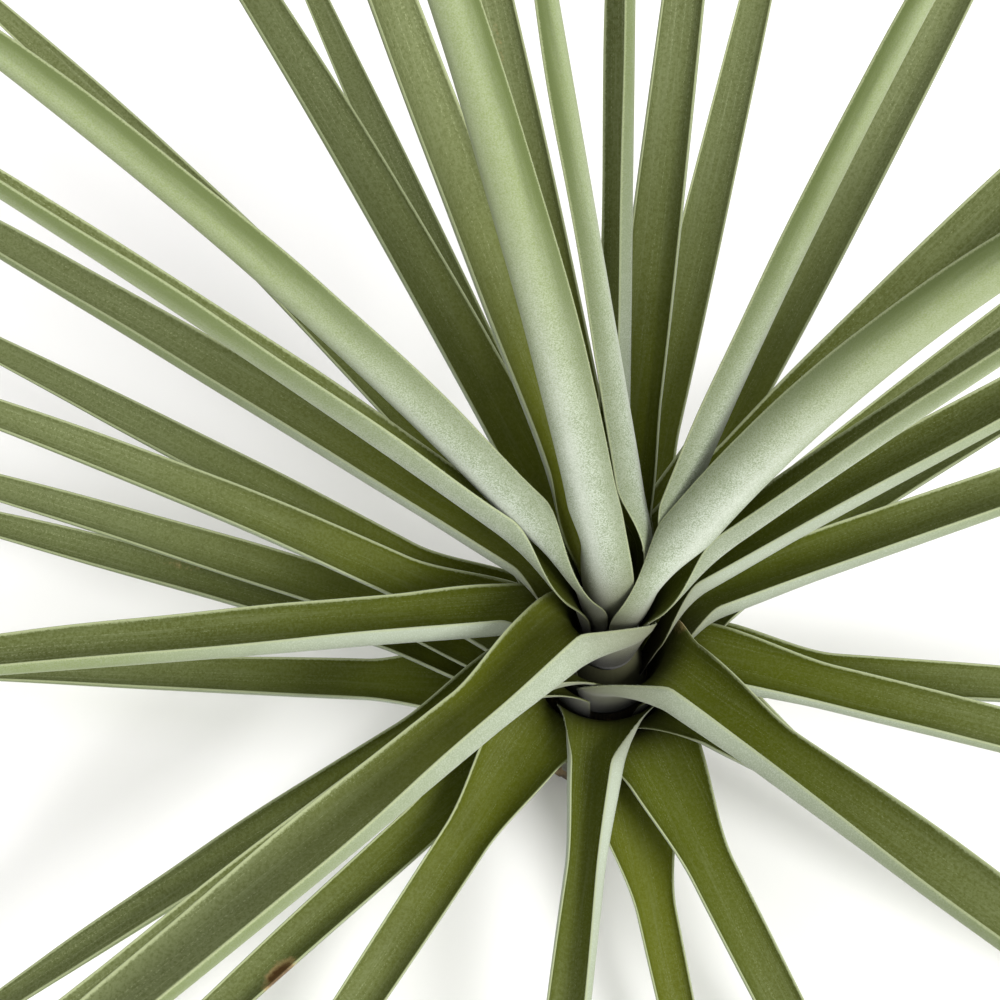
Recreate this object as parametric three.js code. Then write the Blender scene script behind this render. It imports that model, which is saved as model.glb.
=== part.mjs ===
// A rosette air plant: a short stem, and strap leaves that sheathe it in layers and arch out all round.
// Millimetres and degrees, +Z up, with the middle of the stem's flat foot at the origin.
import * as THREE from 'three';

// Sheaths clasp the stem in layers. Each layer sits lower and wider than the one inside it.
const topSeatHeight = 62;
const topSeatRadius = 4;
const layerPitch = 1.25; // from the middle of one sheath's wall to the next
const layerDrop = 3;
const sheathSlope = 79; // above the horizontal
const widestSheath = 24; // round the stem
const sheathThickness = 0.75;

// The neck bends out from the sheath, curved round the stem at first and channelled at its end.
const neckMiddle = 16; // distance from the seat of a point a third of the way along the neck
const narrowFrom = 10;
const narrowTo = 50;

// A blade is a channelled strap that tapers to a point.
const bladeChannel = 90;
const tipChannel = 110;
const midribThickness = 1.2;
const marginThickness = 0.7;
const tipWidth = 1.4;
const taperStart = 0.25; // share of the length
const taperPower = 1.8;
const stepsAcross = 6;
const stepsInNeck = 7;
const stepsInBlade = 6;
const longestStep = 1; // along a leaf, where its course is worked out

// The stem is a blunt cone that stays clear of the sheaths.
const stemGap = 0.3;
const stemFootRadius = 12;
const stemTopRise = 1;
const stemSides = 32;

// Leaves from the heart outwards. turn is the bearing on the stem, anticlockwise from +X. rise is the
// slope where the neck ends, and fall is how far the blade arches down from it. lean and sweep bend the
// neck and the blade to the left. roll turns the neck's course and its face to the right. tilt turns the
// face alone to the right. wrap is how far the sheath reaches to either side of its bearing, and curl is
// the arc across the blade where the neck ends. neck is the neck's length.
//   name      turn rise fall lean sweep roll tilt length width wrap curl neck
const leafRows = [
  ['leaf_01', 250,  98,   0, -14, -10,   0,   0, 230, 13, 44, 140, 21],
  ['leaf_02', 355, 103,   0,  25,   0,   0,   0, 230, 13, 44, 140, 21],
  ['leaf_03', 130,  60,   0,   0,   0,   0,   0, 230, 13, 44, 140, 21],
  ['leaf_04', 347,  81,   9,  17,   0,   0, -25, 230, 13, 30, 140, 21],
  ['leaf_05',  76,  58,   0,   9,   0,   0, -55, 230, 12, 44, 140, 21],
  ['leaf_06', 215,  79,  16, -37,   0,  30,   0, 230, 15, 44, 140, 21],
  ['leaf_07', 301,  92,  38,  25,   0, -24,   0, 230, 16, 36, 140, 21],
  ['leaf_08',  97,  45,   0,   8,   0,   0,   0, 220, 13, 44, 140, 21],
  ['leaf_09', 187,  51,   6, -24,   0,  25,   0, 230, 15, 44, 140, 21],
  ['leaf_10', 349,  57,   5,  18,   0, -20,   0, 230, 14, 44, 140, 21],
  ['leaf_11', 250,  16,   0, -30,   0,   0,  12, 230, 21, 88, 180, 14],
  ['leaf_12',  82,  42,   0,   0,   0,   0,   0, 220, 14, 44, 110, 14],
  ['leaf_13',  36,  45,  14,  -2,  -4,   0,   0, 230, 15, 44, 110, 14],
  ['leaf_14', 128,  34,   0,  -4,   8,   0,   0, 230, 14, 44, 110, 14],
  ['leaf_15',  48,  37,   0,   5,   4,   0,   0, 220, 13, 44, 110, 14],
  ['leaf_16', 152,  15,   3,   0,   0,   0,  20, 230, 17, 44, 110, 14],
  ['leaf_17',  18,  31,   8,   0,   0,   0, -20, 230, 16, 44, 140, 14],
  ['leaf_18', 186,   2,   2,   0,   0,   0,  25, 220, 19, 44, 140, 14],
  ['leaf_19',  75,  24,   0,   0,   0,   0,   0, 220, 13, 44, 110, 14],
  ['leaf_20', 224,  -3,   8, -10,   0,   0,  20, 220, 16, 40, 140, 14],
  ['leaf_21', 302,  12,   3,  18,   0,   0, -12, 230, 21, 62, 180, 14],
  ['leaf_22',  15,  15,   5,   0,   0,   0, -20, 230, 17, 44, 140, 14],
  ['leaf_23', 133,  23,   0,   3,   8,   0,   0, 220, 13, 44, 110, 14],
  ['leaf_24', 114,  15,   0,   0,   0,   0,   0, 220, 13, 44, 110, 14],
  ['leaf_25', 343,   4,   3,   0,   0,   0, -12, 220, 15, 44, 140, 14],
  ['leaf_26', 209, -11,   8,   0,   0,   0,  12, 190, 13, 44, 140, 14],
  ['leaf_27',  38,  12,   4,   0,   0,   0,   0, 210, 13, 44, 110, 14],
  ['leaf_28', 270, -11,  -2, -12,   0,   0,  15, 210, 14, 44, 200, 14],
  ['leaf_29', 328, -11,   3,   0,   0,   0,   0, 200, 14, 44, 110, 14],
  ['leaf_30', 228, -18, -12,  10,   0,   0,   0, 200, 13, 44, 110, 14],
  ['leaf_31', 164,  21,  17,  -2,   0,   0,   0, 210, 13, 44, 110, 14],
  ['leaf_32', 292, -14,  -7,   6,   0,   0,   0, 200, 13, 44, 110, 14],
  ['leaf_33',  32,   5,   3,   0,   0,   0,   0, 210, 13, 44, 110, 14],
  ['leaf_34', 154,  12,   4,   0,   0,   0,   0, 210, 13, 44, 110, 14],
  ['leaf_35', 358,  -1,   0,  -2,   0,   0,   0, 190, 12, 44, 110, 14],
  ['leaf_36', 221, -10,   0,   0,   0,   0,   0, 190, 12, 44, 110, 14],
  ['leaf_37', 161,   9,   6,   4,   0,   0,   0, 200, 13, 44, 110, 14],
  ['leaf_38', 281, -14,  -5,   0,   0,   0,   0, 150, 11, 44, 110, 14],
  ['leaf_39', 169,   5,   2,  -5,   0,   0,   0, 200, 13, 44, 110, 14],
  ['leaf_40', 181,  -6,   0,  -9,   0,   0,   0, 200, 13, 44, 110, 14],
];

const rad = THREE.MathUtils.degToRad;
const mix = THREE.MathUtils.lerp;
const ease = THREE.MathUtils.smoothstep;
const slopeCos = Math.cos(rad(sheathSlope));
const slopeSin = Math.sin(rad(sheathSlope));
const xAxis = new THREE.Vector3(1, 0, 0);
const zAxis = new THREE.Vector3(0, 0, 1);
const layerGrowth = (layerPitch - layerDrop * slopeCos) / slopeSin;

const leafMaterial = new THREE.MeshStandardMaterial({
  color: 0x7d8f52,
  roughness: 0.75,
  metalness: 0,
});
const stemMaterial = new THREE.MeshStandardMaterial({
  color: 0x6b5a3c,
  roughness: 0.9,
  metalness: 0,
});

// The smaller angle between two bearings.
function bearingGap(a, b) {
  const gap = Math.abs(a - b) % 360;
  return Math.min(gap, 360 - gap);
}

const seatHeight = (layer) => topSeatHeight - layerDrop * layer;
const seatRadius = (layer) => topSeatRadius + layerGrowth * layer;

// Degrees that a sheath covers to either side of its bearing.
function wrapOf({ wrap, layer }) {
  return Math.min(wrap, THREE.MathUtils.radToDeg(widestSheath / 2 / seatRadius(layer)));
}

function laps(inner, outer) {
  return (
    inner.layer >= outer.layer &&
    bearingGap(inner.turn, outer.turn) < wrapOf(inner) + wrapOf(outer)
  );
}

// Reads the rows, and puts each sheath in the first layer outside every earlier sheath that it laps.
function nestLeaves(rows) {
  const leaves = [];
  for (const row of rows) {
    const [name, turn, rise, fall, lean, sweep, roll, tilt, length, width, wrap, curl, neck] = row;
    const leaf = { name, turn, rise, fall, lean, sweep, roll, tilt, length, width, wrap, curl, neck };
    leaf.layer = 0;
    while (leaves.some((inner) => laps(inner, leaf))) {
      leaf.layer += 1;
    }
    leaves.push(leaf);
  }
  return leaves;
}

// Distances along a leaf at which the neck starts to bend and ends, at which it starts to leave the curve
// round the stem, and from which it is free of it.
function neckSpan({ neck }) {
  const start = neckMiddle - neck / 3;
  return { start, end: start + neck, leaving: neck, free: 2 * neck };
}

// How far a leaf has turned from its start at a distance along it: face, pitch and course.
function bendsAt(leaf, along) {
  const { start, end } = neckSpan(leaf);
  const neck = ease(along, start, end);
  const blade = Math.max(0, along - end) / (leaf.length - end);
  return {
    roll: rad(leaf.roll * neck),
    pitch: rad((leaf.rise - sheathSlope) * neck - leaf.fall * blade),
    yaw: rad(leaf.lean * neck + leaf.sweep * blade),
    tilt: rad(leaf.tilt * neck),
  };
}

// The leaf's axes at its seat: X runs up the sheath, Y to the left and Z to the heart.
function seatFacing(leaf) {
  const out = new THREE.Vector3(Math.cos(rad(leaf.turn)), Math.sin(rad(leaf.turn)), 0);
  const along = out.clone().multiplyScalar(slopeCos).addScaledVector(zAxis, slopeSin);
  const inward = out.clone().multiplyScalar(-slopeSin).addScaledVector(zAxis, slopeCos);
  const left = inward.clone().cross(along);
  const axes = new THREE.Matrix4().makeBasis(along, left, inward);
  return { place: out.multiplyScalar(seatRadius(leaf.layer)).setZ(seatHeight(leaf.layer)),
    facing: new THREE.Quaternion().setFromRotationMatrix(axes) };
}

// Distances along a leaf at which its section is set.
function ringDistances(leaf) {
  const rings = [];
  const { free } = neckSpan(leaf);
  for (let i = 0; i <= stepsInNeck; i += 1) {
    rings.push((free * i) / stepsInNeck);
  }
  for (let i = 1; i <= stepsInBlade; i += 1) {
    rings.push(mix(free, leaf.length, i / stepsInBlade));
  }
  return rings;
}

// Walks along a leaf in short steps that bend as they go, and keeps the place and axes at each ring.
function leafCourse(leaf) {
  const { place, facing } = seatFacing(leaf);
  const course = [];
  let along = 0;
  for (const ring of ringDistances(leaf)) {
    const steps = Math.ceil((ring - along) / longestStep);
    const step = steps > 0 ? (ring - along) / steps : 0;
    for (let i = 0; i < steps; i += 1) {
      const before = bendsAt(leaf, along);
      const after = bendsAt(leaf, along + step);
      const bend = new THREE.Euler(
        after.roll - before.roll,
        before.pitch - after.pitch,
        after.yaw - before.yaw,
      );
      facing.multiply(new THREE.Quaternion().setFromEuler(bend));
      place.add(new THREE.Vector3(step, 0, 0).applyQuaternion(facing));
      along += step;
    }
    const tilt = new THREE.Quaternion().setFromAxisAngle(xAxis, bendsAt(leaf, along).tilt);
    course.push({ along, place: place.clone(), facing: facing.clone().multiply(tilt) });
  }
  return course;
}

// The section across a leaf: its width round the curve, the arc that it curves through where it is
// channelled, its middle's thickness, and its share of freedom from the curve round the stem.
function sectionAt(leaf, along) {
  const { leaving, free } = neckSpan(leaf);
  const sheathRadius = seatRadius(leaf.layer) + along * slopeCos;
  const narrowing = ease(along, narrowFrom, narrowTo);
  const share = along / leaf.length;
  const taper = 1 - Math.max(0, (share - taperStart) / (1 - taperStart)) ** taperPower;
  const bladeWidth = tipWidth + (leaf.width - tipWidth) * taper;
  const opening = ease(along, free, leaf.length / 2);
  const closing = ease(along, leaf.length / 2, leaf.length);
  return {
    width: mix(2 * rad(wrapOf(leaf)) * sheathRadius, bladeWidth, narrowing),
    arc: rad(mix(mix(leaf.curl, bladeChannel, opening), tipChannel, closing)),
    midrib: mix(sheathThickness, mix(midribThickness, marginThickness, closing), narrowing),
    freedom: ease(along, leaving, free),
  };
}

// Splits the squares of a box's lower face along the same diagonals as those of its upper face.
function matchDiagonals(box) {
  const lower = box.groups[3];
  const corners = box.index.array;
  for (let i = lower.start; i < lower.start + lower.count; i += 6) {
    const [a, b, d, , c] = corners.slice(i, i + 6);
    corners.set([a, b, c, a, c, d], i);
  }
}

// A corner of the section where the leaf curves round the stem.
function claspedCorner({ place, facing }, { width }, across, offset) {
  const corner = new THREE.Vector3(0, 0, offset).applyQuaternion(facing).add(place);
  const reach = Math.hypot(place.x, place.y);
  return corner.applyAxisAngle(zAxis, (across * width) / 2 / reach);
}

// A corner of the section where the leaf is a channel of its own.
function channelCorner({ place, facing }, { width, arc }, across, offset) {
  const radius = width / arc;
  const angle = (across * arc) / 2;
  const corner = new THREE.Vector3(
    0,
    (radius - offset) * Math.sin(angle),
    radius - (radius - offset) * Math.cos(angle),
  );
  return corner.applyQuaternion(facing).add(place);
}

// A box, long in Z, thin in Y and divided across X, bent to the leaf's course and section.
function leafGeometry(leaf) {
  const course = leafCourse(leaf);
  const box = new THREE.BoxGeometry(2, 1, 1, stepsAcross, 1, course.length - 1);
  matchDiagonals(box);
  const corners = box.getAttribute('position');
  for (let i = 0; i < corners.count; i += 1) {
    const ring = course[Math.round((corners.getZ(i) + 0.5) * (course.length - 1))];
    const section = sectionAt(leaf, ring.along);
    const across = corners.getX(i);
    const offset = corners.getY(i) * mix(section.midrib, marginThickness, across ** 2);
    const clasped = claspedCorner(ring, section, across, offset);
    const corner = clasped.lerp(channelCorner(ring, section, across, offset), section.freedom);
    corners.setXYZ(i, corner.x, corner.y, corner.z);
  }
  box.deleteAttribute('normal');
  box.deleteAttribute('uv');
  box.computeVertexNormals();
  return box;
}

function stemGeometry(lowestLayer) {
  const inset = sheathThickness / 2 + stemGap;
  const profile = [
    new THREE.Vector2(0, 0),
    new THREE.Vector2(stemFootRadius, 0),
    new THREE.Vector2(seatRadius(lowestLayer) - inset, seatHeight(lowestLayer)),
    new THREE.Vector2(topSeatRadius - inset, topSeatHeight),
    new THREE.Vector2(0, topSeatHeight + stemTopRise),
  ];
  return new THREE.LatheGeometry(profile, stemSides).rotateX(Math.PI / 2);
}

function airPlant() {
  const plant = new THREE.Group();
  const leaves = nestLeaves(leafRows);
  const lowestLayer = Math.max(...leaves.map((leaf) => leaf.layer));
  const stem = new THREE.Mesh(stemGeometry(lowestLayer), stemMaterial);
  stem.name = 'stem';
  plant.add(stem);
  for (const leaf of leaves) {
    const mesh = new THREE.Mesh(leafGeometry(leaf), leafMaterial);
    mesh.name = leaf.name;
    plant.add(mesh);
  }
  return plant;
}

export default airPlant();
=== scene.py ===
# An air plant on a pale floor: a short stem, and strap leaves that sheathe it and arch out all round.
# Metres and degrees, +Z up, with the middle of the stem's flat foot at the origin.
import math
import random
from collections import namedtuple

import bmesh
import bpy
from mathutils import Matrix, Quaternion, Vector, noise


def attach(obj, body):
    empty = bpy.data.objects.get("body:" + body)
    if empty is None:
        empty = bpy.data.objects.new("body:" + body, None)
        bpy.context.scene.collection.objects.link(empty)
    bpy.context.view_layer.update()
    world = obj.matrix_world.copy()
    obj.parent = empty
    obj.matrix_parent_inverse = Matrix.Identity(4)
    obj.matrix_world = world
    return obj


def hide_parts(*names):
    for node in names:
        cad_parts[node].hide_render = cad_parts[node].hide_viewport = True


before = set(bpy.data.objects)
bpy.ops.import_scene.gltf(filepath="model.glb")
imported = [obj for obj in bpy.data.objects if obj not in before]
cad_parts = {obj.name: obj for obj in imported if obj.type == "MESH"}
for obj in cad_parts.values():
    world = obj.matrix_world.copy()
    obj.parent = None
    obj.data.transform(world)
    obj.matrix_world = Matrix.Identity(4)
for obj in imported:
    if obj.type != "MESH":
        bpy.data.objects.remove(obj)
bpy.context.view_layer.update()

# Sheaths clasp the stem in layers. Each layer sits lower and wider than the one inside it.
TOP_SEAT_HEIGHT = 0.062
TOP_SEAT_RADIUS = 0.004
LAYER_PITCH = 0.00125
LAYER_DROP = 0.003
SHEATH_SLOPE = 79
WIDEST_SHEATH = 0.024
SHEATH_THICKNESS = 0.00075
SHEATH_ROOT = 0.003  # how far a sheath runs on below its seat, into the stem

# The neck bends out from the sheath, curved round the stem at first and channelled at its end.
NECK_MIDDLE = 0.016  # distance from the seat of a point a third of the way along the neck
NARROW_FROM = 0.010
NARROW_TO = 0.050

# A blade is a channelled strap that tapers to a point.
BLADE_CHANNEL = 125
TIP_CHANNEL = 125
MIDRIB_THICKNESS = 0.0012
MARGIN_THICKNESS = 0.0004
TIP_WIDTH = 0.0014
TIP_THICKNESS = 0.0007
TAPER_START = 0.25
TAPER_POWER = 1.8
FOLD_FROM = 0.6  # share of the half width beyond which a margin turns in
FULL_FOLD = 45  # a margin turned in this far shows its back as a silver strip

# The dried ear at the left end of one sheath. Shares are of half the leaf's width.
EAR_LEAF = "leaf_21"
EAR_ALONG = 0.019
EAR_HALF = 0.004
EAR_FROM = 0.75  # share beyond which the ear begins
EAR_REACH = 0.20  # share by which it stands out further
EAR_RISE = 0.0025

# How finely a leaf is divided.
NECK_STEP = 0.001
NECK_STEPS_TO = 0.050
BLADE_STEP = 0.002
TIP_ROUND = 0.004
TIP_STEPS = 8
STEPS_ACROSS = 16
MARGIN_STEPS = 4
LEAF_MERGE = 1e-7  # points of the rolled grid that are nearer than this become one

# Margins waver a little where the leaf is free.
WAVE_HEIGHT = 0.0006
WAVE_LENGTH = 0.034

# Scales of the down that stand along each margin.
SCALE_SPACING = 0.0004
SCALE_LENGTH = 0.00036
SCALE_RADIUS = 0.00007
SCALE_LENGTHS = (0.6, 1.3)  # shortest and longest, as shares of the length
SCALE_MIDDLE = 0.35  # share of its length from the margin to a scale's middle
SCALE_SPREAD = 0.35  # share of the margin's thickness to either side of its middle line
SCALE_FORWARD = (0.1, 1.2)  # least and most lean to the tip
SCALE_SIDEWAYS = 0.7  # most lean to the face or the back
SCALE_SIDES = 3
SCALE_CORNERS = SCALE_SIDES + 1
SCALES_FROM = 0.012
NEAR_MARGIN = 0.9  # share of the half width from which the way outwards is taken

# The stem is a blunt cone, wrapped in the husks of old leaf bases up to where the sheaths cover it.
STEM_FOOT_RADIUS = 0.012
STEM_GAP = 0.0003
STEM_TOP_RISE = 0.001
STEM_STEPS = 128
STEM_RINGS = 90
FOOT_RINGS = 8
STEM_MERGE = 1e-6
HUSK_PITCH = 0.0042
HUSK_DEPTH = 0.0006
HUSK_RAGGED = 0.5  # share of the pitch
RAGGED_WAVES = (3, 60)  # round the stem, and in a metre up it
FIBRE_DEPTH = 0.00015
FIBRE_WAVES = (30, 150)
HUSKS_END = (0.024, 0.034)  # heights between which they smooth out
PLAIN_FOOT = 0.0005
PLAIN_CENTRE = 0.002

# Leaves from the heart outwards. turn is the bearing on the stem, anticlockwise from +X. rise is the
# slope where the neck ends, and fall is how far the blade arches down from it. lean and sweep bend the
# neck and the blade to the left. roll turns the neck's course and its face to the right. tilt turns the
# face alone to the right. fold turns the outer part of each margin inwards. tone is from darker and
# greener at -1 to paler and greyer at 1.
Leaf = namedtuple(
    "Leaf", "name turn rise fall lean sweep roll tilt length width wrap curl neck fold tone layer"
)
LEAF_ROWS = [
    ("leaf_01", 250, 98, 0, -14, -10, 0, 0, 0.230, 0.013, 44, 140, 0.021, 0, 0.3),
    ("leaf_02", 355, 103, 0, 25, 0, 0, 0, 0.230, 0.013, 44, 140, 0.021, 0, 0.4),
    ("leaf_03", 130, 60, 0, 0, 0, 0, 0, 0.230, 0.013, 44, 140, 0.021, 20, 0.6),
    ("leaf_04", 347, 81, 9, 17, 0, 0, -25, 0.230, 0.013, 30, 140, 0.021, 0, 0.2),
    ("leaf_05", 76, 58, 0, 9, 0, 0, -55, 0.230, 0.012, 44, 140, 0.021, 30, 0.0),
    ("leaf_06", 215, 79, 16, -37, 0, 30, 0, 0.230, 0.015, 44, 140, 0.021, 0, 0.3),
    ("leaf_07", 301, 92, 38, 25, 0, -24, 0, 0.230, 0.016, 36, 140, 0.021, 0, 0.1),
    ("leaf_08", 97, 45, 0, 8, 0, 0, 0, 0.220, 0.013, 44, 140, 0.021, 30, 0.5),
    ("leaf_09", 187, 51, 6, -24, 0, 25, 0, 0.230, 0.015, 44, 140, 0.021, 10, 0.0),
    ("leaf_10", 349, 57, 5, 18, 0, -20, 0, 0.230, 0.014, 44, 140, 0.021, 15, 0.0),
    ("leaf_11", 250, 16, 0, -30, 0, 0, 12, 0.230, 0.021, 88, 180, 0.014, 25, 0.5),
    ("leaf_12", 82, 42, 0, 0, 0, 0, 0, 0.220, 0.014, 44, 110, 0.014, 45, 0.3),
    ("leaf_13", 36, 45, 14, -2, -4, 0, 0, 0.230, 0.015, 44, 110, 0.014, 20, 0.0),
    ("leaf_14", 128, 34, 0, -4, 8, 0, 0, 0.230, 0.014, 44, 110, 0.014, 35, 0.4),
    ("leaf_15", 48, 37, 0, 5, 4, 0, 0, 0.220, 0.013, 44, 110, 0.014, 20, 0.5),
    ("leaf_16", 152, 15, 3, 0, 0, 0, 20, 0.230, 0.017, 44, 110, 0.014, 35, 0.4),
    ("leaf_17", 18, 31, 8, 0, 0, 0, -20, 0.230, 0.016, 44, 140, 0.014, 45, -0.3),
    ("leaf_18", 186, 2, 2, 0, 0, 0, 25, 0.220, 0.019, 44, 140, 0.014, 45, -0.25),
    ("leaf_19", 75, 24, 0, 0, 0, 0, 0, 0.220, 0.013, 44, 110, 0.014, 20, 0.3),
    ("leaf_20", 224, -3, 8, -10, 0, 0, 20, 0.220, 0.016, 40, 140, 0.014, 35, 0.1),
    ("leaf_21", 302, 12, 3, 18, 0, 0, -12, 0.230, 0.021, 62, 180, 0.014, 30, 0.0),
    ("leaf_22", 15, 15, 5, 0, 0, 0, -20, 0.230, 0.017, 44, 140, 0.014, 35, -0.1),
    ("leaf_23", 133, 23, 0, 3, 8, 0, 0, 0.220, 0.013, 44, 110, 0.014, 30, 0.2),
    ("leaf_24", 114, 15, 0, 0, 0, 0, 0, 0.220, 0.013, 44, 110, 0.014, 30, 0.3),
    ("leaf_25", 343, 4, 3, 0, 0, 0, -12, 0.220, 0.015, 44, 140, 0.014, 35, 0.0),
    ("leaf_26", 209, -11, 8, 0, 0, 0, 12, 0.190, 0.013, 44, 140, 0.014, 30, 0.0),
    ("leaf_27", 38, 12, 4, 0, 0, 0, 0, 0.210, 0.013, 44, 110, 0.014, 30, 0.1),
    ("leaf_28", 270, -11, -2, -12, 0, 0, 15, 0.210, 0.014, 44, 200, 0.014, 50, 0.0),
    ("leaf_29", 328, -11, 3, 0, 0, 0, 0, 0.200, 0.014, 44, 110, 0.014, 30, 0.0),
    ("leaf_30", 228, -18, -12, 10, 0, 0, 0, 0.200, 0.013, 44, 110, 0.014, 30, 0.3),
    ("leaf_31", 164, 21, 17, -2, 0, 0, 0, 0.210, 0.013, 44, 110, 0.014, 30, 0.3),
    ("leaf_32", 292, -14, -7, 6, 0, 0, 0, 0.200, 0.013, 44, 110, 0.014, 30, 0.0),
    ("leaf_33", 32, 5, 3, 0, 0, 0, 0, 0.210, 0.013, 44, 110, 0.014, 30, 0.1),
    ("leaf_34", 154, 12, 4, 0, 0, 0, 0, 0.210, 0.013, 44, 110, 0.014, 30, 0.4),
    ("leaf_35", 358, -1, 0, -2, 0, 0, 0, 0.190, 0.012, 44, 110, 0.014, 30, 0.0),
    ("leaf_36", 221, -10, 0, 0, 0, 0, 0, 0.190, 0.012, 44, 110, 0.014, 30, 0.1),
    ("leaf_37", 161, 9, 6, 4, 0, 0, 0, 0.200, 0.013, 44, 110, 0.014, 30, 0.4),
    ("leaf_38", 281, -14, -5, 0, 0, 0, 0, 0.150, 0.011, 44, 110, 0.014, 30, -0.6),
    ("leaf_39", 169, 5, 2, -5, 0, 0, 0, 0.200, 0.013, 44, 110, 0.014, 30, 0.2),
    ("leaf_40", 181, -6, 0, -9, 0, 0, 0, 0.200, 0.013, 44, 110, 0.014, 30, 0.1),
]

# Dry marks: leaf, distance along, place across, reach along, reach across, and how dry the middle is.
DRY_MARKS = [
    ("leaf_39", 0.098, -0.6, 0.011, 0.6, 0.45),
    ("leaf_36", 0.092, 0.8, 0.008, 1.1, 0.95),
    ("leaf_08", 0.118, 0.1, 0.010, 0.4, 0.45),
    ("leaf_21", 0.019, 1.2, 0.006, 0.6, 0.70),
]
DRY_MIDDLE = 0.2  # share of a mark's reach that is as dry as its middle
DRY_TIP = 0.020  # length of a leaf's end that dries

# Colours as sRGB shares.
BASE_OLIVE = (0.29, 0.32, 0.03)
DEEP_OLIVE = (0.24, 0.26, 0.03)
BLADE_OLIVE = (0.34, 0.37, 0.18)
GREY_OLIVE = (0.46, 0.49, 0.34)
YOUNG_GREEN = (0.41, 0.43, 0.10)
SILVER = (0.70, 0.73, 0.67)
# A painted highlight along the ridge of a leaf's back near its base.
HIGHLIGHT_SILVER = (0.80, 0.82, 0.78)
SILVER_GREEN = (0.46, 0.51, 0.39)
SIDE_GREEN = (0.38, 0.42, 0.27)
FAR_GREEN = (0.50, 0.55, 0.35)
BACK_GREEN = (0.28, 0.33, 0.11)
FAR_SILVER = (0.57, 0.61, 0.47)
MARGIN_PALE = (0.62, 0.65, 0.49)
DRY_BROWN = (0.36, 0.22, 0.12)
DRY_TAN = (0.68, 0.58, 0.40)
# Painted shade in the hollow at a leaf's base, over the sheath's own browner colour there.
SHADE_AND_SHEATH_BROWN = (0.16, 0.15, 0.08)
# Painted shade on the back of a leaf near its base.
PAINTED_SHADE_OLIVE = (0.33, 0.32, 0.21)
STEM_BROWN = (0.30, 0.25, 0.17)
STEM_DARK = (0.15, 0.12, 0.08)
STEM_OLIVE = (0.30, 0.30, 0.20)
FLOOR_WHITE = (0.97, 0.965, 0.96)

# Sizes of what the finishes show.
STREAK_WIDTH = 0.0010
FACE_STREAK = 0.030
BACK_STREAK = 0.016
VEIN_WIDTH = 0.00035
VEIN_LENGTH = 0.050
SPECK_WIDTH = 0.00016
SPECK_LENGTH = 0.00045
FACE_BLOTCH = 0.012
MOTTLE_SIZE = 0.0006
SCURF_SIZE = 0.00027
BACK_PATCH = 0.0045
DRY_RAG = 0.0022
DOWN_PATCH = 0.003
DOWN_GRAIN = 0.0002
FIBRE_WIDTH = 0.0005
FIBRE_LENGTH = 0.008
STEM_BLOTCH = 0.004

# Depths of their relief.
FACE_RELIEF = 0.00015
BACK_RELIEF = 0.0002
DOWN_RELIEF = 0.0001
STEM_RELIEF = 0.0004

# Where a finish changes: start and end, along a leaf or up the stem.
FACE_OUTWARD = (0.040, 0.130)
# The face's painted shade in the hollow at its base ends over this range.
FACE_HOLLOW_SHADE = (0.010, 0.028)
FACE_MARGIN = (0.01, 0.04)
BACK_OUTWARD = (0.045, 0.120)
# The back's painted shade near its base ends over this range.
BACK_PAINTED_SHADE = (0.012, 0.034)
# The back's painted shade in the hollow at its base ends over this range.
BACK_HOLLOW_SHADE = (0.002, 0.014)
STEM_COVERED = (0.028, 0.040)

# The camera. The heart of the plant is where the leaves part, and it shows at this pixel.
IMAGE_SIDE = 1000
HEART = Vector((0, 0, 0.054))
HEART_PIXEL = (608, 628)
VIEW_ELEVATION = 58
VIEW_DISTANCE = 0.34
SENSOR_WIDTH = 36
LENS = 58.06
NEAREST_SEEN = 0.01

# The floor and the lights.
FLOOR_SIDE = 6.0
KEY_SIDE = 0.7
KEY_PLACE = (0.9, -1.0, 1.3)
KEY_POWER = 33
WORLD_STRENGTH = 0.97

SLOPE_COS = math.cos(math.radians(SHEATH_SLOPE))
SLOPE_SIN = math.sin(math.radians(SHEATH_SLOPE))
LAYER_GROWTH = (LAYER_PITCH - LAYER_DROP * SLOPE_COS) / SLOPE_SIN
X_AXIS = Vector((1, 0, 0))
Y_AXIS = Vector((0, 1, 0))
Z_AXIS = Vector((0, 0, 1))


# ---- the plant's form -------------------------------------------------------------------------------

def mix(start, end, share):
    return start + (end - start) * share


def ease(value, low, high):
    """A smooth step from 0 at low to 1 at high."""
    share = min(1, max(0, (value - low) / (high - low)))
    return share * share * (3 - 2 * share)


def bearing_gap(first, second):
    gap = abs(first - second) % 360
    return min(gap, 360 - gap)


def seat_height(layer):
    return TOP_SEAT_HEIGHT - LAYER_DROP * layer


def seat_radius(layer):
    return TOP_SEAT_RADIUS + LAYER_GROWTH * layer


def wrap_at(wrap, layer):
    """Degrees that a sheath covers to either side of its bearing."""
    return min(wrap, math.degrees(WIDEST_SHEATH / 2 / seat_radius(layer)))


def nest_leaves():
    """Puts each sheath in the first layer outside every earlier sheath that it laps."""
    leaves = []
    for row in LEAF_ROWS:
        leaf = Leaf(*row, 0)
        while any(laps(inner, leaf) for inner in leaves):
            leaf = leaf._replace(layer=leaf.layer + 1)
        leaves.append(leaf)
    return leaves


def laps(inner, outer):
    if inner.layer < outer.layer:
        return False
    reach = wrap_at(inner.wrap, inner.layer) + wrap_at(outer.wrap, outer.layer)
    return bearing_gap(inner.turn, outer.turn) < reach


def bends_at(leaf, along):
    """Roll, pitch, yaw and tilt of a leaf, in radians from its start, at a distance along it."""
    start = NECK_MIDDLE - leaf.neck / 3
    end = start + leaf.neck
    neck = ease(along, start, end)
    blade = max(0, along - end) / (leaf.length - end)
    return (
        math.radians(leaf.roll * neck),
        math.radians((leaf.rise - SHEATH_SLOPE) * neck - leaf.fall * blade),
        math.radians(leaf.lean * neck + leaf.sweep * blade),
        math.radians(leaf.tilt * neck),
    )


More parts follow.
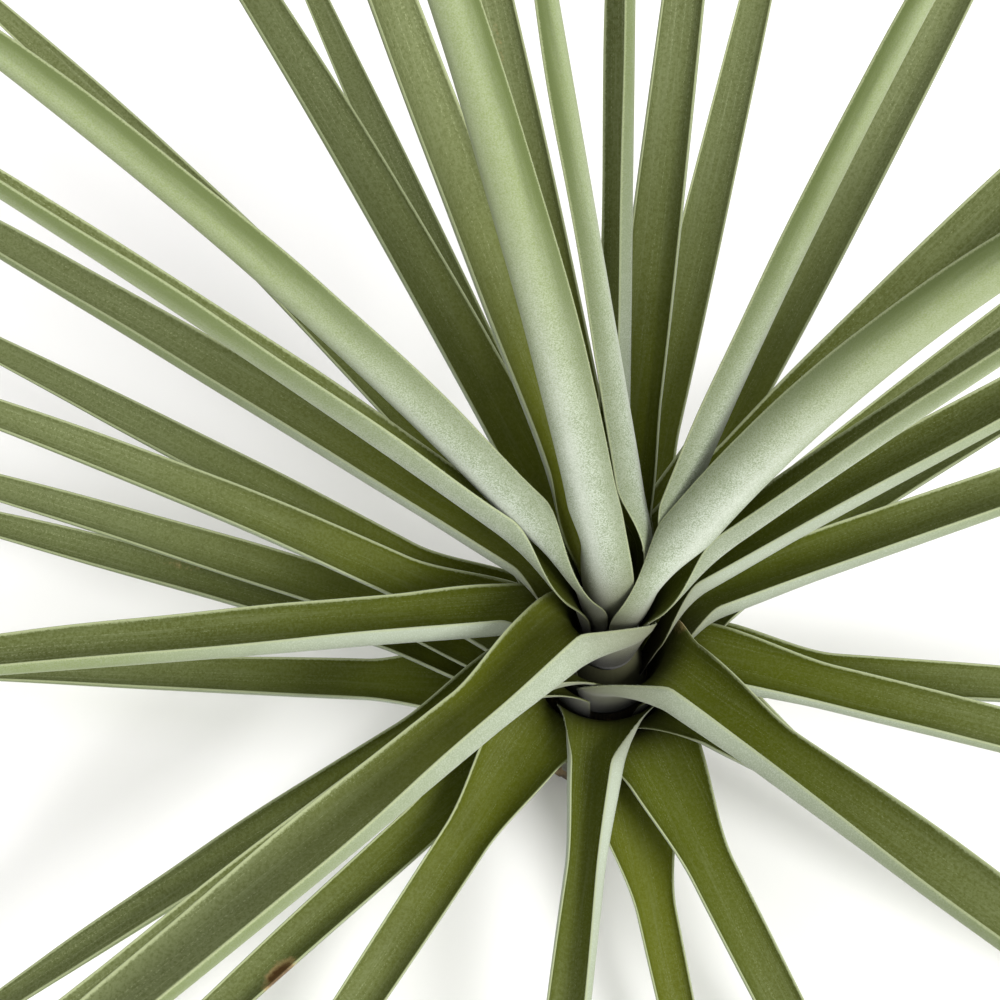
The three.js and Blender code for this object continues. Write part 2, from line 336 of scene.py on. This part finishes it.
def seat_facing(leaf):
    """Place and axes of a leaf at its seat: X runs up the sheath, Y to the left and Z to the heart."""
    turn = math.radians(leaf.turn)
    out = Vector((math.cos(turn), math.sin(turn), 0))
    along = out * SLOPE_COS + Z_AXIS * SLOPE_SIN
    inward = Z_AXIS * SLOPE_COS - out * SLOPE_SIN
    left = inward.cross(along)
    facing = Matrix((along, left, inward)).transposed().to_quaternion()
    return out * seat_radius(leaf.layer) + Z_AXIS * seat_height(leaf.layer), facing


def ring_distances(leaf):
    neck_rings = round(NECK_STEPS_TO / NECK_STEP)
    tip_start = leaf.length - TIP_ROUND
    blade_rings = round((tip_start - NECK_STEPS_TO) / BLADE_STEP)
    rings = [-SHEATH_ROOT] + [NECK_STEPS_TO * i / neck_rings for i in range(neck_rings)]
    rings += [mix(NECK_STEPS_TO, tip_start, i / blade_rings) for i in range(blade_rings)]
    rings += [mix(tip_start, leaf.length, i / TIP_STEPS) for i in range(TIP_STEPS + 1)]
    return rings


Ring = namedtuple("Ring", "along place facing section")


def leaf_course(leaf):
    """The rings along a leaf, from steps that bend as they go."""
    place, facing = seat_facing(leaf)
    course = []
    done = 0
    before = bends_at(leaf, 0)
    for along in ring_distances(leaf):
        after = bends_at(leaf, along)
        facing = facing @ Quaternion(X_AXIS, after[0] - before[0])
        facing = facing @ Quaternion(Y_AXIS, before[1] - after[1])
        facing = facing @ Quaternion(Z_AXIS, after[2] - before[2])
        place = place + facing @ Vector((along - done, 0, 0))
        tilted = facing @ Quaternion(X_AXIS, after[3])
        course.append(Ring(along, place, tilted, section_at(leaf, along)))
        done = along
        before = after
    return course


Section = namedtuple("Section", "width arc fold midrib margin freedom")


def section_at(leaf, along):
    """The width round the curve, the arc that a channel spans, how far its margins turn in, the thickness
    at the middle and at the margins, and the share of freedom from the curve round the stem."""
    sheath_radius = seat_radius(leaf.layer) + along * SLOPE_COS
    narrowing = ease(along, NARROW_FROM, NARROW_TO)
    share = max(0, (along / leaf.length - TAPER_START) / (1 - TAPER_START))
    blade_width = mix(leaf.width, TIP_WIDTH, share ** TAPER_POWER)
    opening = ease(along, 2 * leaf.neck, leaf.length / 2)
    closing = ease(along, leaf.length / 2, leaf.length)
    tip = max(0, (along - leaf.length) / TIP_ROUND + 1)
    rounding = math.sqrt(max(0, 1 - tip * tip))
    sheath_width = 2 * math.radians(wrap_at(leaf.wrap, leaf.layer)) * sheath_radius
    blade_midrib = mix(MIDRIB_THICKNESS, TIP_THICKNESS, closing)
    return Section(
        width=mix(sheath_width, blade_width, narrowing) * rounding,
        arc=math.radians(mix(mix(leaf.curl, BLADE_CHANNEL, opening), TIP_CHANNEL, closing)),
        fold=math.radians(leaf.fold) * (1 - closing),
        midrib=mix(SHEATH_THICKNESS, blade_midrib, narrowing) * rounding,
        margin=MARGIN_THICKNESS * rounding,
        freedom=ease(along, leaf.neck, 2 * leaf.neck),
    )


def clasped_point(ring, across, offset):
    """A point of the section where the leaf curves round the stem."""
    point = ring.place + ring.facing @ Vector((0, 0, offset))
    reach = math.hypot(ring.place.x, ring.place.y)
    return Quaternion(Z_AXIS, across * ring.section.width / 2 / reach) @ point


def channel_point(ring, across, offset, wave):
    """A point of the section where the leaf is a channel of its own, with margins that turn in."""
    section = ring.section
    half = section.width / 2
    radius = section.width / section.arc
    angle = min(abs(across), FOLD_FROM) * section.arc / 2
    middle = Vector((0, 0, radius))
    if abs(across) > FOLD_FROM:
        tighter = half / (section.arc / 2 + section.fold / (1 - FOLD_FROM))
        middle += (radius - tighter) * Vector((0, math.sin(angle), -math.cos(angle)))
        angle += (abs(across) - FOLD_FROM) * half / tighter
        radius = tighter
    point = middle + (radius - offset) * Vector((0, math.sin(angle), -math.cos(angle)))
    point.y = math.copysign(point.y, across) if across else 0
    return ring.place + ring.facing @ (point + Vector((0, 0, wave)))


def leaf_point(leaf, ring, across, offset):
    if ring.section.width == 0:
        return ring.place.copy()
    free = channel_point(ring, across, offset, margin_wave(leaf, ring.along, across))
    if ring.section.freedom == 1:
        return free
    return clasped_point(ring, across, offset).lerp(free, ring.section.freedom)


def margin_wave(leaf, along, across):
    """How far a margin wavers from the leaf's plain channel."""
    side = math.copysign(leaf.turn, across)
    sway = noise.noise(Vector((along / WAVE_LENGTH, side, leaf.layer)))
    return WAVE_HEIGHT * sway * across * across


# ---- meshes -----------------------------------------------------------------------------------------

def section_outline():
    """Points round a leaf's section: across from -1 to 1, side from 1 on the face to -1 on the back, and
    how far the rounded margin bulges, as a share of half its thickness."""
    face = [(1 - 2 * i / STEPS_ACROSS, 1, 0) for i in range(STEPS_ACROSS + 1)]
    outline = list(face)
    for i in range(1, MARGIN_STEPS):
        turn = math.pi * i / MARGIN_STEPS
        outline.append((-1, math.cos(turn), math.sin(turn)))
    outline += [(-across, -1, 0) for across, _, _ in face]
    for i in range(1, MARGIN_STEPS):
        turn = math.pi * i / MARGIN_STEPS
        outline.append((1, -math.cos(turn), math.sin(turn)))
    return outline + [outline[0]]


def outline_point(leaf, ring, across, side, bulge):
    section = ring.section
    half = mix(section.midrib, section.margin, across * across) / 2
    out = bulge * section.margin / max(section.width, TIP_WIDTH)
    if leaf.name != EAR_LEAF:
        return leaf_point(leaf, ring, across * (1 + out), side * half)
    ear = ease(across, EAR_FROM, 1) * (1 - ease(abs(ring.along - EAR_ALONG), 0, EAR_HALF))
    point = leaf_point(leaf, ring, across * (1 + out + EAR_REACH * ear), side * half)
    return point + Z_AXIS * EAR_RISE * ear


def finish_mesh(name, form, materials, smooth=True):
    mesh = bpy.data.meshes.new(name)
    form.to_mesh(mesh)
    form.free()
    for material in materials:
        mesh.materials.append(material)
    if smooth:
        mesh.shade_smooth()
    else:
        mesh.shade_flat()
    piece = bpy.data.objects.new(name, mesh)
    bpy.context.scene.collection.objects.link(piece)
    return piece


def leaf_blade(leaf, course, materials):
    """A grid rolled round the leaf's section and laid along its course.

    Each point keeps its strap: how far it lies across and along the leaf, and its side. It also keeps its
    marks: its share of the half width, the leaf's tone on the face or how far its margins turn in on the
    back, and how dry it is.
    """
    outline = section_outline()
    columns = len(outline) - 1
    rows = len(course) - 1
    form = bmesh.new()
    strap = form.verts.layers.float_vector.new("strap")
    marks = form.verts.layers.float_vector.new("marks")
    bmesh.ops.create_grid(form, x_segments=columns, y_segments=rows, size=1)
    for vert in form.verts:
        across, side, bulge = outline[round((vert.co.x + 1) / 2 * columns)]
        ring = course[round((vert.co.y + 1) / 2 * rows)]
        vert[strap] = (across * ring.section.width / 2, ring.along, side)
        trait = leaf.tone if side > 0 else leaf.fold / FULL_FOLD
        vert[marks] = (abs(across), trait, dryness(leaf, ring.along, across))
        vert.co = outline_point(leaf, ring, across, side, bulge)
    bmesh.ops.remove_doubles(form, verts=form.verts, dist=LEAF_MERGE)
    bmesh.ops.holes_fill(form, edges=form.edges)
    bmesh.ops.recalc_face_normals(form, faces=form.faces)
    for face in form.faces:
        face.material_index = 0 if sum(vert[strap].z for vert in face.verts) > 0 else 1
    return finish_mesh(leaf.name + "_blade", form, materials)


def dryness(leaf, along, across):
    """How dry a leaf is at a place, from its tip and its marks."""
    dry = ease(along, leaf.length - DRY_TIP, leaf.length)
    for name, mark_along, mark_across, long_reach, wide_reach, driest in DRY_MARKS:
        if name == leaf.name:
            away = math.hypot((along - mark_along) / long_reach, (across - mark_across) / wide_reach)
            dry = max(dry, driest * (1 - ease(away, DRY_MIDDLE, 1)))
    return dry


def leaf_scales(leaf, course, material):
    """Small scales of down that stand out along both margins.

    One cone is doubled until there are enough. Each goes to its place, and the spare ones are deleted.
    """
    draw = random.Random(leaf.name)
    places = []
    for before, after in zip(course, course[1:]):
        if before.along < SCALES_FROM or after.along > leaf.length - TIP_ROUND:
            continue
        for side in (-1, 1):
            places += margin_places(leaf, before, after, side, draw)
    form = bmesh.new()
    bmesh.ops.create_cone(form, cap_ends=True, segments=SCALE_SIDES, radius1=1, radius2=0, depth=1)
    while len(form.verts) < len(places) * SCALE_CORNERS:
        bmesh.ops.duplicate(form, geom=form.verts[:] + form.edges[:] + form.faces[:])
    points = [vert for vert in form.verts if vert.co.z > 0]
    for point, place in zip(points, places):
        for vert in [edge.other_vert(point) for edge in point.link_edges] + [point]:
            vert.co = place @ vert.co
    spare = points[len(places):]
    spare += [edge.other_vert(point) for point in spare for edge in point.link_edges]
    bmesh.ops.delete(form, geom=spare, context="VERTS")
    return finish_mesh(leaf.name + "_down", form, [material], smooth=False)


def margin_places(leaf, before, after, side, draw):
    """Places of the scales of one margin between two rings."""
    start = leaf_point(leaf, before, side, 0)
    end = leaf_point(leaf, after, side, 0)
    out = (start - leaf_point(leaf, before, side * NEAR_MARGIN, 0)).normalized()
    forward = (end - start).normalized()
    lift = out.cross(forward)
    places = []
    for _ in range(round((end - start).length / SCALE_SPACING)):
        root = start.lerp(end, draw.random())
        root += lift * draw.uniform(-SCALE_SPREAD, SCALE_SPREAD) * MARGIN_THICKNESS
        way = out + forward * draw.uniform(*SCALE_FORWARD)
        way += lift * draw.uniform(-SCALE_SIDEWAYS, SCALE_SIDEWAYS)
        turn = way.to_track_quat("Z", "Y")
        size = Vector((SCALE_RADIUS, SCALE_RADIUS, SCALE_LENGTH * draw.uniform(*SCALE_LENGTHS)))
        middle = root + way.normalized() * size.z * SCALE_MIDDLE
        places.append(Matrix.LocRotScale(middle, turn, size))
    return places


def stem_radius(height, lowest_layer):
    inset = SHEATH_THICKNESS / 2 + STEM_GAP
    low = seat_height(lowest_layer)
    if height < low:
        return mix(STEM_FOOT_RADIUS, seat_radius(lowest_layer) - inset, height / low)
    share = (height - low) / (TOP_SEAT_HEIGHT - low)
    return mix(seat_radius(lowest_layer), TOP_SEAT_RADIUS, share) - inset


def husk_relief(height, bearing):
    """The stepped edges of old leaf bases that wrap the stem in a spiral."""
    ragged = stem_noise(height, bearing, *RAGGED_WAVES)
    step = (height / HUSK_PITCH + bearing / math.tau + ragged * HUSK_RAGGED) % 1
    fibres = stem_noise(height, bearing, *FIBRE_WAVES)
    return (1 - ease(height, *HUSKS_END)) * (FIBRE_DEPTH * fibres - HUSK_DEPTH * step)


def stem_noise(height, bearing, waves_round, waves_up):
    place = (math.cos(bearing) * waves_round, math.sin(bearing) * waves_round, height * waves_up)
    return noise.noise(Vector(place))


def stem_form(lowest_layer, material):
    """A line up the stem's side, spun round, with the husks' relief pressed into it."""
    form = bmesh.new()
    strap = form.verts.layers.float_vector.new("strap")
    heights = [TOP_SEAT_HEIGHT * i / STEM_RINGS for i in range(STEM_RINGS + 1)]
    points = [(STEM_FOOT_RADIUS * i / FOOT_RINGS, 0) for i in range(FOOT_RINGS)]
    points += [(stem_radius(height, lowest_layer), height) for height in heights]
    points.append((0, TOP_SEAT_HEIGHT + STEM_TOP_RISE))
    line = [form.verts.new((reach, 0, height)) for reach, height in points]
    edges = [form.edges.new(pair) for pair in zip(line, line[1:])]
    bmesh.ops.spin(
        form,
        geom=line + edges,
        cent=(0, 0, 0),
        axis=(0, 0, 1),
        angle=math.tau,
        steps=STEM_STEPS,
        use_merge=True,
    )
    bmesh.ops.remove_doubles(form, verts=form.verts, dist=STEM_MERGE)
    for vert in form.verts:
        reach = math.hypot(vert.co.x, vert.co.y)
        bearing = math.atan2(vert.co.y, vert.co.x)
        vert[strap] = (bearing * STEM_FOOT_RADIUS, vert.co.z, 0)
        if reach > PLAIN_CENTRE and PLAIN_FOOT < vert.co.z < TOP_SEAT_HEIGHT:
            share = 1 + husk_relief(vert.co.z, bearing) / reach
            vert.co.x *= share
            vert.co.y *= share
    bmesh.ops.recalc_face_normals(form, faces=form.faces)
    return finish_mesh("stem_husks", form, [material])


# ---- finishes ---------------------------------------------------------------------------------------
# The shares in these functions were set one by one: each says how much of its line's colour is laid on,
# or between which values of a grain it shows.

def linear(color):
    """An sRGB colour as the linear one that a shader takes."""
    shares = [c / 12.92 if c < 0.04045 else ((c + 0.055) / 1.055) ** 2.4 for c in color]
    return (*shares, 1)


class Wire:
    """A socket that can be reckoned with like a number."""

    def __init__(self, finish, socket):
        self.finish = finish
        self.socket = socket

    def reckon(self, operation, *others):
        inputs = dict(enumerate(others))
        return self.finish.node("ShaderNodeMath", {"operation": operation}, inputs)

    def __add__(self, other):
        return self.reckon("ADD", self, other)

    __radd__ = __add__

    def __sub__(self, other):
        return self.reckon("SUBTRACT", self, other)

    def __rsub__(self, other):
        return self.reckon("SUBTRACT", other, self)

    def __mul__(self, other):
        return self.reckon("MULTIPLY", self, other)

    __rmul__ = __mul__

    def between(self, low, high):
        """0 below low, 1 above high, and smooth between."""
        settings = {"interpolation_type": "SMOOTHSTEP"}
        inputs = {"Value": self, "From Min": low, "From Max": high}
        return self.finish.node("ShaderNodeMapRange", settings, inputs)


class Finish:
    """A material under construction."""

    def __init__(self, name):
        self.material = bpy.data.materials.new(name)
        self.material.use_nodes = True
        self.material.node_tree.nodes.clear()

    def node(self, kind, settings=None, inputs=None, output=0):
        """Makes a node, sets it, feeds its sockets with numbers or links, and gives one output."""
        made = self.material.node_tree.nodes.new(kind)
        for name, value in (settings or {}).items():
            setattr(made, name, value)
        for name, value in (inputs or {}).items():
            if isinstance(value, Wire):
                self.material.node_tree.links.new(value.socket, made.inputs[name])
            else:
                made.inputs[name].default_value = value
        return Wire(self, made.outputs[output]) if made.outputs else made

    def attribute(self, name):
        """The three numbers of a vector attribute."""
        place = self.node("ShaderNodeAttribute", {"attribute_name": name}, output="Vector")
        return place, [self.node("ShaderNodeSeparateXYZ", None, {0: place}, i) for i in range(3)]

    def object_place(self):
        return self.node("ShaderNodeTexCoord", output="Object")

    def grain(self, place, size, detail=2.0, roughness=0.5):
        """Noise from 0 to 1 whose blotches are about size across."""
        inputs = {"Vector": place, "Scale": 1 / size, "Detail": detail, "Roughness": roughness}
        return self.node("ShaderNodeTexNoise", None, inputs)

    def lengthwise(self, strap, width, length, detail, roughness=0.5):
        """Noise whose blotches are about this wide, and about this long along a leaf or up the stem."""
        inputs = {0: strap, 1: (1 / width, 1 / length, 1)}
        drawn = self.node("ShaderNodeVectorMath", {"operation": "MULTIPLY"}, inputs)
        return self.grain(drawn, 1, detail, roughness)

    def blend(self, share, first, second):
        """Two colours mixed."""
        first, second = [c if isinstance(c, Wire) else linear(c) for c in (first, second)]
        settings = {"data_type": "RGBA"}
        return self.node("ShaderNodeMix", settings, {0: share, 6: first, 7: second}, 2)

    def bump(self, height, distance, strength):
        inputs = {"Height": height, "Distance": distance, "Strength": strength}
        return self.node("ShaderNodeBump", None, inputs)

    def close(self, **sockets):
        """Ends in a Principled shader whose sockets are named with underscores for spaces."""
        inputs = {name.replace("_", " "): value for name, value in sockets.items()}
        shader = self.node("ShaderNodeBsdfPrincipled", None, inputs)
        self.node("ShaderNodeOutputMaterial", None, {"Surface": shader})
        return self.material


def dried(finish, color, dry, place):
    """Colour with brown where it has dried, ragged at the edge."""
    ragged = finish.grain(place, DRY_RAG, 4, 0.75)
    share = (dry + ragged * 1.1 - 0.8).between(0.1, 0.6)
    brown = finish.blend((dry + ragged * 0.6).between(0.90, 1.20), DRY_TAN, DRY_BROWN)
    return finish.blend(share * 0.85, color, brown)


def face_green(finish, place, tone, outward):
    """The face's own green, darker in blotches and greyer further out."""
    blotches = finish.grain(place, FACE_BLOTCH, 3)
    base = finish.blend(tone * 0.7, BASE_OLIVE, YOUNG_GREEN)
    green = finish.blend(outward, base, BLADE_OLIVE)
    green = finish.blend(blotches.between(0.35, 0.75) * 0.35, green, DEEP_OLIVE)
    green = finish.blend(outward * (0.30 + tone * 0.6), green, GREY_OLIVE)
    return finish.blend((0 - tone).between(0.3, 1.0), green, YOUNG_GREEN)


def face_bloom(finish, green, mottle, streaks, rows, outward):
    """Green under its grey bloom: mottled, streaked, and dotted in rows."""
    green = finish.blend(mottle.between(0.40, 0.70) * (0.14 + 0.33 * outward), green, GREY_OLIVE)
    green = finish.blend(mottle.between(0.55, 0.30) * (0.15 + 0.22 * outward), green, DEEP_OLIVE)
    green = finish.blend(streaks.between(0.48, 0.75) * (0.15 + 0.45 * outward), green, GREY_OLIVE)
    return finish.blend(rows * (0.22 + 0.33 * outward), green, MARGIN_PALE)


def face_finish():
    """The green upper face: matt, faintly streaked, and dotted with pale scales in lines."""
    finish = Finish("leaf_face")
    place = finish.object_place()
    strap, (_, along, _) = finish.attribute("strap")
    _, (edge, tone, dry) = finish.attribute("marks")
    streaks = finish.lengthwise(strap, STREAK_WIDTH, FACE_STREAK, 3, 0.6)
    veins = finish.lengthwise(strap, VEIN_WIDTH, VEIN_LENGTH, 1)
    specks = finish.lengthwise(strap, SPECK_WIDTH, SPECK_LENGTH, 1)
    rows = veins.between(0.55, 0.66) * specks.between(0.50, 0.68)
    mottle = finish.grain(place, MOTTLE_SIZE, 3, 0.7)
    outward = along.between(*FACE_OUTWARD)
    green = face_green(finish, place, tone, outward)
    green = face_bloom(finish, green, mottle, streaks, rows, outward)
    # Painted shade in the hollow at the base of the face, partly the sheath's own browner colour; paler
    # leaves get less of it.
    hollow_shade = 1 - along.between(*FACE_HOLLOW_SHADE)
    green = finish.blend(hollow_shade * (0.75 - tone * 0.9), green, SHADE_AND_SHEATH_BROWN)
    pale = (edge + mottle * 0.10).between(0.98, 1.05)
    green = finish.blend(pale * along.between(*FACE_MARGIN), green, MARGIN_PALE)
    return finish.close(
        Base_Color=dried(finish, green, dry, place),
        Roughness=0.55 + 0.14 * streaks,
        Specular_IOR_Level=0.12,
        Normal=finish.bump(mottle * 0.5 + veins * 0.5, FACE_RELIEF, 0.4),
    )


def back_silver(finish, cover, streaks, edge, folded, outward):
    """Silver scales over green, with a painted highlight along the ridge, and paler where a margin turns
    in.
    """
    gaps = finish.blend(outward, SILVER_GREEN, FAR_GREEN)
    silver = finish.blend(outward, SILVER, FAR_SILVER)
    silver = finish.blend(cover.between(0.46, 0.82), gaps, silver)
    # A painted highlight along the ridge near the base; the same pale silver brightens the strip where a
    # margin turns in.
    ridge_highlight = 1 - (edge + streaks * 0.3).between(0.10, 0.60)
    strip = folded * edge.between(0.5, 0.8) * cover.between(0.75, 0.45)
    silver = finish.blend((ridge_highlight * 0.4 + strip * 0.5) * (1 - outward), silver, HIGHLIGHT_SILVER)
    bare = (edge + streaks * 0.3).between(0.40, 1.05) * (0.60 + 0.30 * outward)
    bare = bare * (1 - folded * 0.65)
    return finish.blend(bare, silver, finish.blend(outward, SIDE_GREEN, BACK_GREEN))


def back_finish():
    """The silvery back, furred with close scales, greener at the margins and further out."""
    finish = Finish("leaf_back")
    place = finish.object_place()
    strap, (_, along, _) = finish.attribute("strap")
    _, (edge, folded, dry) = finish.attribute("marks")
    scales = finish.grain(place, SCURF_SIZE, 3, 0.65)
    patches = finish.grain(place, BACK_PATCH, 3)
    streaks = finish.lengthwise(strap, STREAK_WIDTH, BACK_STREAK, 2, 0.6)
    cover = scales + patches * 0.15 + streaks * 0.15
    outward = along.between(*BACK_OUTWARD)
    silver = back_silver(finish, cover, streaks, edge, folded, outward)
    silver = finish.blend((edge + scales * 0.08).between(0.99, 1.05) * 0.7, silver, MARGIN_PALE)
    # Painted shade on the back near the base.
    silver = finish.blend((1 - along.between(*BACK_PAINTED_SHADE)) * 0.8, silver, PAINTED_SHADE_OLIVE)
    # Painted shade in the hollow at the very base of the back, partly the sheath's own browner colour.
    silver = finish.blend((1 - along.between(*BACK_HOLLOW_SHADE)) * 0.8, silver, SHADE_AND_SHEATH_BROWN)
    return finish.close(
        Base_Color=dried(finish, silver, dry, place),
        Roughness=0.62 + 0.2 * scales,
        Specular_IOR_Level=0.4,
        Sheen_Weight=0.12,
        Sheen_Roughness=0.4,
        Normal=finish.bump(cover, BACK_RELIEF, 0.4),
    )


def down_finish():
    """The silvery scales along the margins."""
    finish = Finish("down")
    place = finish.object_place()
    return finish.close(
        Base_Color=finish.blend(finish.grain(place, DOWN_PATCH), SILVER_GREEN, SILVER),
        Roughness=0.7,
        Sheen_Weight=0.3,
        Normal=finish.bump(finish.grain(place, DOWN_GRAIN), DOWN_RELIEF, 0.2),
    )


def stem_finish():
    """Dry papery husks: brown at the foot, and greyer and greener where sheaths cover them."""
    finish = Finish("stem_husk")
    place = finish.object_place()
    strap, (_, height, _) = finish.attribute("strap")
    fibres = finish.lengthwise(strap, FIBRE_WIDTH, FIBRE_LENGTH, 3, 0.65)
    blotches = finish.grain(place, STEM_BLOTCH, 3)
    covered = height.between(*STEM_COVERED)
    husk = finish.blend(fibres.between(0.3, 0.7), STEM_DARK, STEM_BROWN)
    husk = finish.blend(blotches.between(0.45, 0.7) * 0.4, husk, DRY_TAN)
    husk = finish.blend(covered, husk, STEM_OLIVE)
    return finish.close(
        Base_Color=husk,
        Roughness=0.75 + 0.15 * blotches,
        Normal=finish.bump(fibres * (1 - covered * 0.8), STEM_RELIEF, 0.6),
    )


def floor_finish():
    finish = Finish("floor")
    return finish.close(Base_Color=linear(FLOOR_WHITE), Roughness=0.6, Specular_IOR_Level=0.2)


# ---- the scene --------------------------------------------------------------------------------------

def dress_leaves(leaves):
    blades = [face_finish(), back_finish()]
    down = down_finish()
    for leaf in leaves:
        course = leaf_course(leaf)
        blade = leaf_blade(leaf, course, blades)
        scales = leaf_scales(leaf, course, down)
        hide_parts(leaf.name)
        for piece in (blade, scales):
            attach(piece, "root")


def dress_stem(leaves):
    lowest_layer = max(leaf.layer for leaf in leaves)
    stem = stem_form(lowest_layer, stem_finish())
    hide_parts("stem")
    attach(stem, "root")


def lay_floor():
    form = bmesh.new()
    bmesh.ops.create_grid(form, x_segments=1, y_segments=1, size=FLOOR_SIDE / 2)
    floor = finish_mesh("floor", form, [floor_finish()], smooth=False)


def light_scene():
    key = bpy.data.lights.new("window", "AREA")
    key.size = KEY_SIDE
    key.energy = KEY_POWER
    lamp = bpy.data.objects.new("window", key)
    lamp.location = KEY_PLACE
    lamp.rotation_euler = (HEART - Vector(KEY_PLACE)).to_track_quat("-Z", "Y").to_euler()
    bpy.context.scene.collection.objects.link(lamp)
    world = bpy.data.worlds.new("room")
    world.use_nodes = True
    background = world.node_tree.nodes["Background"]
    background.inputs["Color"].default_value = (1, 1, 1, 1)
    background.inputs["Strength"].default_value = WORLD_STRENGTH
    bpy.context.scene.world = world
    bpy.context.scene.view_settings.view_transform = "Standard"


def aim_camera():
    """Places the camera so that the heart shows at its pixel, as in the photograph."""
    lens = bpy.data.cameras.new("camera")
    lens.lens = LENS
    lens.sensor_width = SENSOR_WIDTH
    lens.clip_start = NEAREST_SEEN
    turn = Quaternion(X_AXIS, math.radians(90 - VIEW_ELEVATION))
    spread = VIEW_DISTANCE * SENSOR_WIDTH / LENS / IMAGE_SIDE
    shift = Vector((IMAGE_SIDE / 2 - HEART_PIXEL[0], HEART_PIXEL[1] - IMAGE_SIDE / 2, 0)) * spread
    camera = bpy.data.objects.new("camera", lens)
    camera.location = HEART + turn @ (shift + Vector((0, 0, VIEW_DISTANCE)))
    camera.rotation_euler = turn.to_euler()
    bpy.context.scene.collection.objects.link(camera)
    bpy.context.scene.camera = camera


aim_camera()
light_scene()
lay_floor()
all_leaves = nest_leaves()
dress_leaves(all_leaves)
dress_stem(all_leaves)
